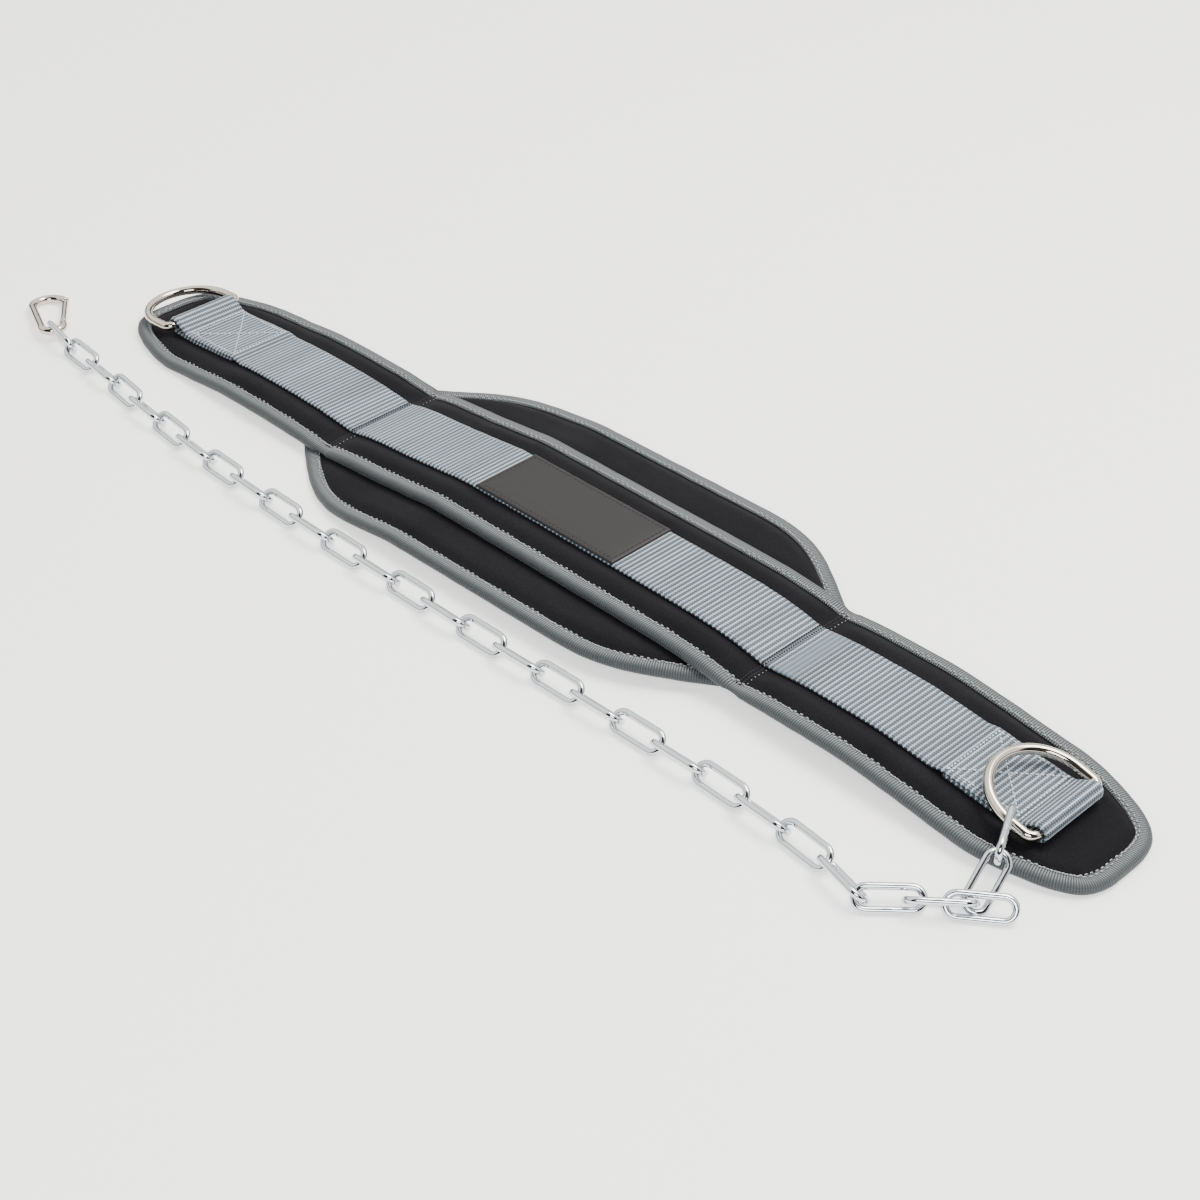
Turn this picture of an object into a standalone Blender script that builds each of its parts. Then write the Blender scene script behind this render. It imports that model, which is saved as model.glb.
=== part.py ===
"""A dip belt laid out on the floor: a soft belt sewn over a wider back pad, a strip of webbing
along its middle with a D-ring folded into each end, and a long-link chain with a snap hook.
"""

import math
from bisect import bisect_right
from collections import namedtuple

import bmesh
import bpy
from mathutils import Euler, Vector

# Sizes are in metres. X runs along the belt, Y across it, and Z up from the floor.
GAP = 0.0003  # between pieces that touch

BELT_LENGTH = 0.812
BELT_WIDTH = 0.105
BELT_THICKNESS = 0.007
TIP_LENGTH = 0.065  # of the tapered end of the belt
TIP_DRIFT = 0.007  # how far the belt's ends bend towards the chain
SEAM_DISTANCE = 0.176  # from the middle of the belt to each cross seam
ARCH_RISE = 0.015  # of the belt's underside off the floor at its middle

PAD_LENGTH = 0.407
PAD_WIDTH = 0.183
PAD_END_WIDTH = 0.080
PAD_STRAIGHT = 0.185  # of the pad's length at its full width
PAD_THICKNESS = 0.007
PAD_OFFSET = -0.014  # of the pad's middle along the belt
PAD_SHIFT = 0.0037  # of the pad's middle across the belt
PAD_SLANT = 0.014  # the pad lies askew under the belt: its shift across grows by this along it

STEP_LENGTH = 0.037  # at most, between the places where the layers bend
STEP_MERGE = 0.001  # between a place of the outline's own and one of those

TAPE_THICKNESS = 0.001
TAPE_REACH = 0.010  # of the edge tape over each face
TAPE_RAMP = 0.002  # of the foam beside the tape, from pressed to full

WEBBING_WIDTH = 0.050
WEBBING_THICKNESS = 0.002
FOLD_LENGTH = 0.062  # of webbing turned back under itself from the ring's bar
FOLD_STEP = 0.010  # over which the webbing comes down past the end of its fold

LABEL_LENGTH = 0.117
LABEL_WIDTH = 0.050
LABEL_THICKNESS = 0.0016

RING_WIRE = 0.006
RING_INNER_WIDTH = 0.053
RING_DEPTH = 0.044  # from the middle of the bar to the middle of the arc
RING_CORNER = 0.005
RING_DISTANCE = 0.365  # from the middle of the belt to each ring's bar
RING_LIFT = 0.001  # of the loop off the webbing under it
RING_CLEARANCE = 0.0005  # round the bar in its loop
HOOKED_RING_TILT = math.radians(14)
HOOKED_RING_SHIFT = -0.001  # along its bar, towards the chain that pulls it

LINK_WIRE = 0.004
LINK_INNER_LENGTH = 0.0307
LINK_INNER_WIDTH = 0.008
LINK_ROLL = 45  # degrees
RUN_LINKS = 24  # in the long run beside the belt, after the snap hook's own link

HOOK_WIRE = 0.006
HOOK_LENGTH = 0.062
HOOK_WIDTH = 0.030  # at the wide end
HOOK_NECK_WIDTH = 0.021  # at the end that holds the chain
GATE_WIRE = 0.0046

# Sections along the belt. place is -2 and 2 at the tips, -1 and 1 at the cross seams. The other
# columns are shares: rise of ARCH_RISE, thickness of the layers' own, drift of TIP_DRIFT.
Section = namedtuple("Section", "place rise thickness drift")
SECTIONS = (
    Section(-2.00, 0.00, 1.00, -0.45),
    Section(-1.74, 0.00, 1.00, -0.15),
    Section(-1.62, 0.08, 1.00, 0.00),
    Section(-1.43, 0.32, 1.00, 0.00),
    Section(-1.30, 0.35, 1.00, 0.00),
    Section(-1.16, 0.33, 0.98, 0.00),
    Section(-1.07, 0.30, 0.84, 0.00),
    Section(-1.00, 0.32, 0.62, 0.00),
    Section(-0.93, 0.38, 0.84, 0.00),
    Section(-0.84, 0.46, 0.98, 0.00),
    Section(-0.70, 0.58, 1.00, 0.00),
    Section(-0.52, 0.80, 1.00, 0.00),
    Section(-0.36, 0.97, 1.00, 0.00),
    Section(0.36, 0.97, 1.00, 0.00),
    Section(0.70, 0.94, 1.00, 0.00),
    Section(0.84, 0.84, 0.98, 0.00),
    Section(0.93, 0.74, 0.84, 0.00),
    Section(1.00, 0.68, 0.62, 0.00),
    Section(1.07, 0.66, 0.84, 0.00),
    Section(1.16, 0.68, 0.98, -0.05),
    Section(1.32, 0.70, 1.00, -0.15),
    Section(1.48, 0.58, 1.00, -0.40),
    Section(1.66, 0.33, 1.00, -0.65),
    Section(1.80, 0.18, 1.00, -0.80),
    Section(2.00, 0.00, 1.00, -1.15),
)

# The taper of the belt's end: shares of TIP_LENGTH in from the end, and of half the width.
TIP = (
    (0.0, 0.22),
    (0.02, 0.37),
    (0.06, 0.50),
    (0.13, 0.61),
    (0.23, 0.70),
    (0.37, 0.79),
    (0.55, 0.87),
    (0.77, 0.95),
    (1.0, 1.0),
)

# The corner of the pad: shares from its straight stretch to its end, and of the narrowing there.
PAD_CORNER = (
    (0.0, 0.0),
    (0.14, 0.03),
    (0.28, 0.105),
    (0.42, 0.235),
    (0.56, 0.42),
    (0.70, 0.63),
    (0.85, 0.86),
    (1.0, 1.05),
)

# Where the cross seams press the layers: shares of BELT_WIDTH either side of the seam.
SEAM_STEPS = (-0.15, -0.055, 0.0, 0.055, 0.15)

# The chain's chosen route, on the floor from the snap hook's link to the bend.
CHAIN_ROUTE = (
    (-0.405, -0.0872),
    (-0.385, -0.0890),
    (-0.366, -0.0905),
    (-0.303, -0.0985),
    (-0.212, -0.1065),
    (-0.093, -0.1095),
    (0.023, -0.1095),
    (0.112, -0.1080),
    (0.202, -0.1070),
    (0.263, -0.1095),
    (0.294, -0.1125),
    (0.326, -0.1205),
)

# Pieces placed one by one: by their middle (the hook by its neck), then heading, slope and roll in
# degrees. A height of zero puts a piece on the floor.
Placed = namedtuple("Placed", "x y z heading slope roll")
FIRST_LINK = Placed(-0.4155, -0.0845, 0.0, -10.7, 0.0, -65.4)
HOOK = Placed(-0.4264, -0.0846, 0.0, 150.1, -4.6, 0.0)
SLACK_LINKS = (
    Placed(0.3355, -0.1107, 0.0, 43.7, 0.0, 35.6),
    Placed(0.3551, -0.0949, 0.0, 41.2, 0.0, -43.2),
    Placed(0.3714, -0.0845, 0.0, 37.5, 0.0, 48.4),
    Placed(0.3648, -0.0718, 0.0106, 100.0, 25.8, 22.2),
    Placed(0.3558, -0.0462, 0.0198, 115.6, 2.5, 90.7),
)


def smooth(pairs):
    """A function that passes smoothly through (place, value) pairs and never overshoots them."""
    places, values = zip(*pairs)
    slopes = [(values[i + 1] - values[i]) / (places[i + 1] - places[i]) for i in range(len(places) - 1)]
    tangents = [slopes[0]]
    for a, b in zip(slopes, slopes[1:]):
        tangents.append(2 * a * b / (a + b) if a * b > 0 else 0.0)
    tangents.append(slopes[-1])

    def value(place):
        place = min(max(place, places[0]), places[-1])
        i = max(min(bisect_right(places, place), len(places) - 1) - 1, 0)
        width = places[i + 1] - places[i]
        t = (place - places[i]) / width
        rise = (1 + 2 * t) * (1 - t) ** 2 * values[i] + t * t * (3 - 2 * t) * values[i + 1]
        return rise + width * t * (1 - t) * ((1 - t) * tangents[i] - t * tangents[i + 1])

    return value


rise_share = smooth([(s.place, s.rise) for s in SECTIONS])
thickness_share = smooth([(s.place, s.thickness) for s in SECTIONS])
drift_share = smooth([(s.place, s.drift) for s in SECTIONS])
tip_share = smooth(TIP)
pad_corner_share = smooth(PAD_CORNER)
chain_route = smooth(CHAIN_ROUTE)


def height_steps():
    """Places along the whole belt, a few centimetres apart and closer at the cross seams. The layers
    bend at these places only, all at the same ones, so that they lie on each other evenly.
    """
    seams = [side * (SEAM_DISTANCE + step * BELT_WIDTH) for step in SEAM_STEPS for side in (-1, 1)]
    fixed = sorted(seams + [-BELT_LENGTH / 2, -LABEL_LENGTH / 2, LABEL_LENGTH / 2, BELT_LENGTH / 2])
    steps = []
    for start, end in zip(fixed, fixed[1:]):
        count = math.ceil((end - start) / STEP_LENGTH)
        steps += [start + (end - start) * i / count for i in range(count)]
    return steps + fixed[-1:]


def place_of(x):
    """The place along the belt, as SECTIONS counts it."""
    beyond = abs(x) - SEAM_DISTANCE
    if beyond <= 0:
        return x / SEAM_DISTANCE
    return math.copysign(1 + beyond / (BELT_LENGTH / 2 - SEAM_DISTANCE), x)


STEPS = height_steps()


def between_steps(share, x):
    """The share at x on straight lines between its values at STEPS."""
    i = max(min(bisect_right(STEPS, x), len(STEPS) - 1) - 1, 0)
    start, end = STEPS[i], STEPS[i + 1]
    t = (x - start) / (end - start)
    return share(place_of(start)) * (1 - t) + share(place_of(end)) * t


def belt_bottom(x):
    return ARCH_RISE * between_steps(rise_share, x)


def belt_top(x):
    return belt_bottom(x) + BELT_THICKNESS * between_steps(thickness_share, x)


def middle_y(x):
    return TIP_DRIFT * drift_share(place_of(x))


def pad_top(x):
    return belt_bottom(x) - GAP


def pad_bottom(x):
    return max(pad_top(x) - PAD_THICKNESS * between_steps(thickness_share, x), 0.0)


def tape_edge(top, bottom):
    """How thick a panel is under its edge tape, a little less than beside it."""
    return lambda x: 0.88 * (top(x) - bottom(x))


def collection_of(name):
    made = bpy.data.collections.new(name)
    bpy.context.scene.collection.children.link(made)
    return made


def finish(name, data, colour, roughness, metallic=0.0):
    """Puts the object in the belt's collection, with a material of its own."""
    material = bpy.data.materials.new(name)
    material.use_nodes = True
    shader = material.node_tree.nodes["Principled BSDF"]
    shader.inputs["Base Color"].default_value = (*colour, 1.0)
    shader.inputs["Roughness"].default_value = roughness
    shader.inputs["Metallic"].default_value = metallic
    data.materials.append(material)
    obj = bpy.data.objects.new(name, data)
    bpy.data.collections["dip_belt"].objects.link(obj)
    return obj


def join_rows(bm, rows, around):
    """Quads between each row of vertices and the next, closed along the rows if around is set."""
    for row, after in zip(rows, rows[1:]):
        for i in range(len(row) if around else len(row) - 1):
            j = (i + 1) % len(row)
            bm.faces.new((row[i], row[j], after[j], after[i]))


def mesh_of(bm, name):
    bmesh.ops.recalc_face_normals(bm, faces=bm.faces)
    mesh = bpy.data.meshes.new(name)
    bm.to_mesh(mesh)
    bm.free()
    mesh.shade_smooth()
    mesh.set_sharp_from_angle(angle=math.radians(35))
    return mesh


def inset(outline, distance):
    """The counter-clockwise outline moved inwards, with its corners mitred."""
    moved = []
    for i, here in enumerate(outline):
        a = (here - outline[i - 1]).normalized()
        b = (outline[(i + 1) % len(outline)] - here).normalized()
        inwards = Vector((-a.y - b.y, a.x + b.x)).normalized()
        moved.append(here + inwards * distance / inwards.dot(Vector((-a.y, a.x))))
    return moved


def stations(start, end, own):
    """Places along a panel from end to end: its outline's own, and STEPS that aren't close to one."""
    shared = [x for x in STEPS if start < x < end and min(abs(x - other) for other in own) > STEP_MERGE]
    return sorted(own + shared)


def outline_of(places, half_width, middle):
    """A panel's outline, counter-clockwise: the near side from left to right, then the far side back."""
    near = [Vector((x, middle(x) - half_width(x))) for x in places]
    far = [Vector((x, middle(x) + half_width(x))) for x in reversed(places)]
    return near + far


def ring_of(bm, outline, distance, height):
    return [bm.verts.new((p.x, p.y, height(p.x))) for p in inset(outline, distance)]


def foam_panel(name, outline, bottom, top, tape_bottom, tape_top):
    """The soft panel: full inside, and pressed thin under its edge tape."""
    cover = TAPE_THICKNESS + GAP
    lip = TAPE_REACH + GAP
    bm = bmesh.new()
    steps = (
        (lip + TAPE_RAMP, top),
        (lip, lambda x: tape_top(x) - cover),
        (cover, lambda x: tape_top(x) - cover),
        (cover, lambda x: tape_bottom(x) + cover),
        (lip, lambda x: tape_bottom(x) + cover),
        (lip + TAPE_RAMP, bottom),
    )
    rings = [ring_of(bm, outline, distance, height) for distance, height in steps]
    join_rows(bm, rings, around=True)
    for ring in (rings[0], rings[-1]):
        half = len(ring) // 2
        join_rows(bm, [ring[:half], ring[:half - 1:-1]], around=False)
    return mesh_of(bm, name)


def edge_tape(name, outline, bottom, top):
    """Woven tape folded over the panel's edge, as a channel that runs all the way round."""
    bm = bmesh.new()
    round_over = TAPE_THICKNESS * 1.3
    steps = (
        (TAPE_REACH, top),
        (round_over, top),
        (0.0, lambda x: top(x) - round_over),
        (0.0, lambda x: bottom(x) + round_over),
        (round_over, bottom),
        (TAPE_REACH, bottom),
        (TAPE_REACH, lambda x: bottom(x) + TAPE_THICKNESS),
        (TAPE_THICKNESS, lambda x: bottom(x) + TAPE_THICKNESS),
        (TAPE_THICKNESS, lambda x: top(x) - TAPE_THICKNESS),
        (TAPE_REACH, lambda x: top(x) - TAPE_THICKNESS),
    )
    rings = [ring_of(bm, outline, distance, height) for distance, height in steps]
    join_rows(bm, rings + rings[:1], around=True)
    return mesh_of(bm, name)


def build_belt():
    half = BELT_LENGTH / 2

    def half_width(x):
        return BELT_WIDTH / 2 * tip_share((half - abs(x)) / TIP_LENGTH)

    own = [side * (half - share * TIP_LENGTH) for share, _ in TIP for side in (-1, 1)]
    places = stations(-half, half, own)
    outline = outline_of(places, half_width, middle_y)
    edge = tape_edge(belt_top, belt_bottom)

    def tape_top(x):
        return belt_bottom(x) + edge(x)

    panel = foam_panel("main_belt", outline, belt_bottom, belt_top, belt_bottom, tape_top)
    finish("main_belt", panel, (0.020, 0.018, 0.024), 0.85)
    tape = edge_tape("main_belt_binding", outline, belt_bottom, tape_top)
    finish("main_belt_binding", tape, (0.20, 0.21, 0.22), 0.8)


def build_pad():
    half = PAD_LENGTH / 2
    corner = half - PAD_STRAIGHT / 2

    def half_width(x):
        share = max(abs(x - PAD_OFFSET) - PAD_STRAIGHT / 2, 0.0) / corner
        return PAD_WIDTH / 2 - (PAD_WIDTH - PAD_END_WIDTH) / 2 * pad_corner_share(share)

    ends = [corner * (1 - share) for share, _ in PAD_CORNER]
    own = [PAD_OFFSET + side * (half - step) for step in ends for side in (-1, 1)]
    places = stations(PAD_OFFSET - half, PAD_OFFSET + half, own)
    outline = outline_of(places, half_width, lambda x: PAD_SHIFT + PAD_SLANT * (x - PAD_OFFSET))
    edge = tape_edge(pad_top, pad_bottom)

    def tape_bottom(x):
        return pad_top(x) - edge(x)

    panel = foam_panel("back_pad", outline, pad_bottom, pad_top, tape_bottom, pad_top)
    finish("back_pad", panel, (0.020, 0.018, 0.024), 0.85)
    tape = edge_tape("back_pad_binding", outline, tape_bottom, pad_top)
    finish("back_pad_binding", tape, (0.20, 0.21, 0.22), 0.8)


def loop_radius():
    """From the middle of a ring's bar to the middle of the webbing round it."""
    return RING_WIRE / 2 + RING_CLEARANCE + WEBBING_THICKNESS / 2


def webbing_height(x):
    """The middle of the webbing's thickness where it lies straight on the belt."""
    return belt_top(x) + GAP + WEBBING_THICKNESS / 2


def bar_height(side):
    return webbing_height(side * RING_DISTANCE) + RING_LIFT + loop_radius()


def webbing_end(side):
    """The webbing's line from its straight part out over the bar and back under itself, on one side."""
    layer = WEBBING_THICKNESS + GAP
    fold_end = RING_DISTANCE - FOLD_LENGTH
    lie = RING_DISTANCE - 2.9 * loop_radius()
    line = []
    for share in (0.0, 0.25, 0.5, 0.75, 1.0):
        x = fold_end - FOLD_STEP * (1 - share)
        line.append((x, webbing_height(side * x) + layer * share * share * (3 - 2 * share)))
    for share in (0.33, 0.67, 1.0):
        x = fold_end + (lie - fold_end) * share
        line.append((x, webbing_height(side * x) + layer))
    for degrees in (120, 90, 60, 30, 0, -30, -60, -90):
        turn = math.radians(degrees)
        x = RING_DISTANCE + loop_radius() * math.cos(turn)
        line.append((x, bar_height(side) + loop_radius() * math.sin(turn)))
    for share in (0.0, 0.33, 0.67, 1.0):
        x = lie - (lie - fold_end) * share
        line.append((x, webbing_height(side * x)))
    return [Vector((side * x, z)) for x, z in line]


def strip(name, line, width, thickness):
    """A flat strip that follows a line in the X-Z plane, at the belt's middle."""
    bm = bmesh.new()
    rows = []
    for i, here in enumerate(line):
        a = (here - line[max(i - 1, 0)]).normalized() if i else (line[1] - here).normalized()
        b = (line[min(i + 1, len(line) - 1)] - here).normalized() if i < len(line) - 1 else a
        across = Vector((-a.y - b.y, a.x + b.x)).normalized()
        half = across * (thickness / 2 / across.dot(Vector((-a.y, a.x))))
        corners = ((half, -1), (half, 1), (-half, 1), (-half, -1))
        row = []
        for shift, side in corners:
            x, z = here + shift
            row.append(bm.verts.new((x, middle_y(x) + side * width / 2, z)))
        rows.append(row)
    join_rows(bm, rows, around=True)
    bm.faces.new(rows[0])
    bm.faces.new(rows[-1])
    return mesh_of(bm, name)


def build_webbing():
    flat_half = RING_DISTANCE - FOLD_LENGTH - FOLD_STEP
    flat = [Vector((x, webbing_height(x))) for x in STEPS if abs(x) < flat_half - STEP_MERGE]
    line = webbing_end(-1)[::-1] + flat + webbing_end(1)
    mesh = strip("webbing_strap", line, WEBBING_WIDTH, WEBBING_THICKNESS)
    finish("webbing_strap", mesh, (0.28, 0.33, 0.37), 0.7)


def build_label():
    height = WEBBING_THICKNESS / 2 + GAP + LABEL_THICKNESS / 2
    ends = [-LABEL_LENGTH / 2, LABEL_LENGTH / 2]
    line = [Vector((x, webbing_height(x) + height)) for x in ends]
    mesh = strip("label_patch", line, LABEL_WIDTH, LABEL_THICKNESS)
    label = finish("label_patch", mesh, (0.070, 0.060, 0.062), 0.5)
    rounded = label.modifiers.new("rounded edges", "BEVEL")
    rounded.width = LABEL_THICKNESS / 4
    rounded.segments = 1


def wire(name, points, diameter, sides, closed):
    """A curve of straight runs with a round section."""
    curve = bpy.data.curves.new(name, "CURVE")
    curve.dimensions = "3D"
    curve.bevel_depth = diameter / 2
    curve.bevel_resolution = (sides - 4) // 2
    curve.use_fill_caps = not closed
    spline = curve.splines.new("POLY")
    spline.points.add(len(points) - 1)
    for point, place in zip(spline.points, points):
        point.co = (*place, 1.0)
    spline.use_cyclic_u = closed
    spline.use_smooth = True
    return curve


def arc(middle, radius, start, end, steps):
    """Points on an arc in the X-Y plane, from one angle in degrees to another."""
    points = []
    for i in range(steps + 1):
        turn = math.radians(start + (end - start) * i / steps)
        points.append(Vector((middle[0] + radius * math.cos(turn), middle[1] + radius * math.sin(turn), 0)))
    return points


def ring_points():
    """A D-ring's line, with its bar on the Y axis and its arc towards -X."""
    half = (RING_INNER_WIDTH + RING_WIRE) / 2
    inner = half - RING_CORNER
    points = arc((-RING_CORNER, inner), RING_CORNER, 0, 90, 3)
    points += arc((half - RING_DEPTH, 0), half, 90, 270, 12)
    points += arc((-RING_CORNER, -inner), RING_CORNER, 270, 360, 3)
    return points


def build_rings():
    rest = bar_height(-1) - (belt_top(-RING_DISTANCE) + GAP + RING_WIRE / 2)
    rings = {
        "left_ring": (-1, -math.asin(rest / RING_DEPTH), 0.0),
        "right_ring": (1, HOOKED_RING_TILT, HOOKED_RING_SHIFT),
    }
    for name, (side, tilt, shift) in rings.items():
        ring = finish(name, wire(name, ring_points(), RING_WIRE, 8, closed=True), (0.75, 0.74, 0.72), 0.2, 1.0)
        x = side * RING_DISTANCE
        ring.location = (x, middle_y(x) + shift, bar_height(side))
        ring.rotation_euler = (0, tilt, 0)


def link_points():
    radius = (LINK_INNER_WIDTH + LINK_WIRE) / 2
    end = (LINK_INNER_LENGTH + LINK_WIRE) / 2 - radius
    return arc((end, 0), radius, -90, 90, 6) + arc((-end, 0), radius, 90, 270, 6)


def put(obj, placed):
    """Moves the object to its place. One with no height goes up or down onto the floor."""
    angles = [math.radians(a) for a in (placed.roll, -placed.slope, placed.heading)]
    obj.rotation_euler = Euler(angles)
    obj.location = placed[:3]
    if placed.z:
        return
    bpy.context.view_layer.update()
    shape = obj.evaluated_get(bpy.context.evaluated_depsgraph_get())
    mesh = shape.to_mesh()
    obj.location.z -= min((shape.matrix_world @ vertex.co).z for vertex in mesh.vertices)
    shape.to_mesh_clear()


def run_links():
    """The run's links a pitch apart, counted back from the bend. Each is turned about its own
    direction, one way and the other by turns.
    """
    x, y = CHAIN_ROUTE[-1]
    pitch = LINK_INNER_LENGTH - GAP
    links = []
    for i in range(RUN_LINKS):
        step = pitch
        for _ in range(4):
            step = math.sqrt(pitch ** 2 - (chain_route(x - step) - y) ** 2)
        before = (x - step, chain_route(x - step))
        heading = math.degrees(math.atan2(y - before[1], x - before[0]))
        roll = LINK_ROLL if i % 2 else -LINK_ROLL
        links.append(Placed((x + before[0]) / 2, (y + before[1]) / 2, 0.0, heading, 0.0, roll))
        x, y = before
    return links[::-1]


def build_chain():
    shape = wire("link", link_points(), LINK_WIRE, 6, closed=True)
    for i, placed in enumerate([FIRST_LINK, *run_links(), *SLACK_LINKS]):
        put(finish(f"link_{i + 1:02d}", shape.copy(), (0.78, 0.79, 0.80), 0.2, 1.0), placed)


def hook_points():
    """The snap hook's line, with its neck at the origin and its wide end along X: from the gate's
    hinge round the neck, along the solid side and round the wide end to the nose.
    """
    neck = (HOOK_NECK_WIDTH - HOOK_WIRE) / 2
    half = (HOOK_WIDTH - HOOK_WIRE) / 2
    crown = HOOK_LENGTH - HOOK_WIRE - half
    return arc((neck, 0), neck, 285, 90, 9) + arc((crown, 0), half, 90, -70, 9)


def build_hook():
    """The snap hook, its wide end on the floor and its neck through the chain's first link."""
    points = hook_points()
    hinge, nose = points[0], points[-1]
    along = (nose - hinge).normalized()
    round_end = GATE_WIRE / 2
    pivot = hinge + along * (GAP + HOOK_WIRE * 0.22 + round_end)
    tip = nose - along * (GAP + HOOK_WIRE * 0.22)
    length = (tip - pivot).length
    body = wire("snap_hook", points, HOOK_WIRE, 8, closed=False)
    hook = finish("snap_hook", body, (0.74, 0.73, 0.71), 0.2, 1.0)
    line, widths = [], []
    for degrees in (75, 45, 15):
        line.append(Vector((-round_end * math.sin(math.radians(degrees)), 0, 0)))
        widths.append(math.cos(math.radians(degrees)))
    line += [Vector((length * share, 0, 0)) for share in (0.3, 0.9, 1.0)]
    widths += [1.0, 1.0, 0.75]
    bar = wire("hook_gate", line, GATE_WIRE, 8, closed=False)
    for point, width in zip(bar.splines[0].points, widths):
        point.radius = width
    gate = finish("hook_gate", bar, (0.74, 0.73, 0.71), 0.2, 1.0)
    put(hook, HOOK)
    bpy.context.view_layer.update()
    gate.parent = hook
    gate.location = pivot
    gate.rotation_euler = (0, 0, math.atan2(along.y, along.x))


def centre_on_floor():
    """Hangs every piece from an empty that puts the middle of the whole belt's footprint at the origin."""
    bpy.context.view_layer.update()
    graph = bpy.context.evaluated_depsgraph_get()
    corners = []
    for obj in bpy.data.collections["dip_belt"].objects:
        shape = obj.evaluated_get(graph)
        mesh = shape.to_mesh()
        corners += [shape.matrix_world @ vertex.co for vertex in mesh.vertices]
        shape.to_mesh_clear()
    middle = [(min(c[i] for c in corners) + max(c[i] for c in corners)) / 2 for i in (0, 1)]
    base = bpy.data.objects.new("floor_middle", None)
    bpy.context.scene.collection.objects.link(base)
    for obj in bpy.data.collections["dip_belt"].objects:
        obj.parent = obj.parent or base
    base.location = (-middle[0], -middle[1], 0)


def main():
    for obj in list(bpy.data.objects):
        bpy.data.objects.remove(obj, do_unlink=True)
    collection_of("dip_belt")
    build_belt()
    build_pad()
    build_webbing()
    build_label()
    build_rings()
    build_chain()
    build_hook()
    centre_on_floor()


main()
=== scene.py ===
# %% [markdown]
# # A dip belt on a pale floor
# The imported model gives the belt's rigid shapes: a soft belt over a wider back pad, webbing with a
# D-ring at each end, and a chain with a snap hook. This file dresses them with foam that puffs
# between its seams, ribbed tape and webbing, thread and bright wire. The model comes in first,
# because every piece below takes its place from it and moves with one of its bodies.

import math
from bisect import bisect_right

import bmesh
import bpy
import numpy as np
from mathutils import Euler, Matrix, Vector, noise


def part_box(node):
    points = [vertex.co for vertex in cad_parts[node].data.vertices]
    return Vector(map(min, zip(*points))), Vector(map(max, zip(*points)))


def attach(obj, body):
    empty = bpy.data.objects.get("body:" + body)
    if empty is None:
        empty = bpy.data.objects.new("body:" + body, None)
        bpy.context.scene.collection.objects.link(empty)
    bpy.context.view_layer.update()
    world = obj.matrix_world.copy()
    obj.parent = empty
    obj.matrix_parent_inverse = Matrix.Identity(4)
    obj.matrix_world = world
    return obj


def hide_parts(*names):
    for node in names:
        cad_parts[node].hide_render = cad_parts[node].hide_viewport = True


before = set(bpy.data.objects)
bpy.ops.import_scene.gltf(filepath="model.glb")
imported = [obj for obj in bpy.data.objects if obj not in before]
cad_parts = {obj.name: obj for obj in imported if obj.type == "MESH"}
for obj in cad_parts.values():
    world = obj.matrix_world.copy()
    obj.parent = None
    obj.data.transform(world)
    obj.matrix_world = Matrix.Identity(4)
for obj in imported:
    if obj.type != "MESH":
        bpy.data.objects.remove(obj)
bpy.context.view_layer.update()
belt_box, label_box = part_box("main_belt_binding"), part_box("label_patch")
ORIGIN = Vector(((belt_box[0].x + belt_box[1].x) / 2, (label_box[0].y + label_box[1].y) / 2, 0))

# %% [markdown]
# ## The belt's sizes
# X runs along the belt from its middle, Y across it and Z up. The underside of the belt rises over
# the pad and dips at the two cross seams, so its height is a short table of shares that a smooth
# curve passes through. Every layer above it is stacked on that one curve.

# %% Sizes, in metres
MM = 0.001
GAP = 0.3 * MM
BELT_LENGTH, BELT_WIDTH, BELT_THICKNESS = 812 * MM, 105 * MM, 7 * MM
TIP_LENGTH, TIP_DRIFT = 65 * MM, 7 * MM
SEAM_DISTANCE, ARCH_RISE = 176 * MM, 15 * MM
PAD_LENGTH, PAD_WIDTH, PAD_END_WIDTH, PAD_STRAIGHT = 407 * MM, 183 * MM, 80 * MM, 185 * MM
PAD_THICKNESS, PAD_OFFSET, PAD_SHIFT, PAD_SLANT = 7 * MM, -14 * MM, 3.7 * MM, 0.014
WEBBING_WIDTH, WEBBING_THICKNESS = 50 * MM, 2 * MM
FOLD_LENGTH, FOLD_STEP = 62 * MM, 10 * MM
LABEL_LENGTH, LABEL_WIDTH, LABEL_THICKNESS = 117 * MM, 50 * MM, 1.6 * MM
RING_WIRE, RING_INNER_WIDTH, RING_DEPTH, RING_CORNER = 6 * MM, 53 * MM, 44 * MM, 5 * MM
RING_DISTANCE, RING_LIFT, RING_CLEARANCE = 365 * MM, 1 * MM, 0.5 * MM
HOOKED_RING_TILT, HOOKED_RING_SHIFT = math.radians(14), -1 * MM
LINK_WIRE, LINK_INNER_LENGTH, LINK_INNER_WIDTH = 4 * MM, 30.7 * MM, 8 * MM
HOOK_WIRE, HOOK_LENGTH, HOOK_WIDTH, HOOK_NECK_WIDTH = 6 * MM, 62 * MM, 30 * MM, 21 * MM
HOOK_PLACE, HOOK_HEADING, HOOK_SLOPE = (-426.4 * MM, -84.6 * MM), 150.1, -4.6
GATE_WIRE = 4.6 * MM

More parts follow.
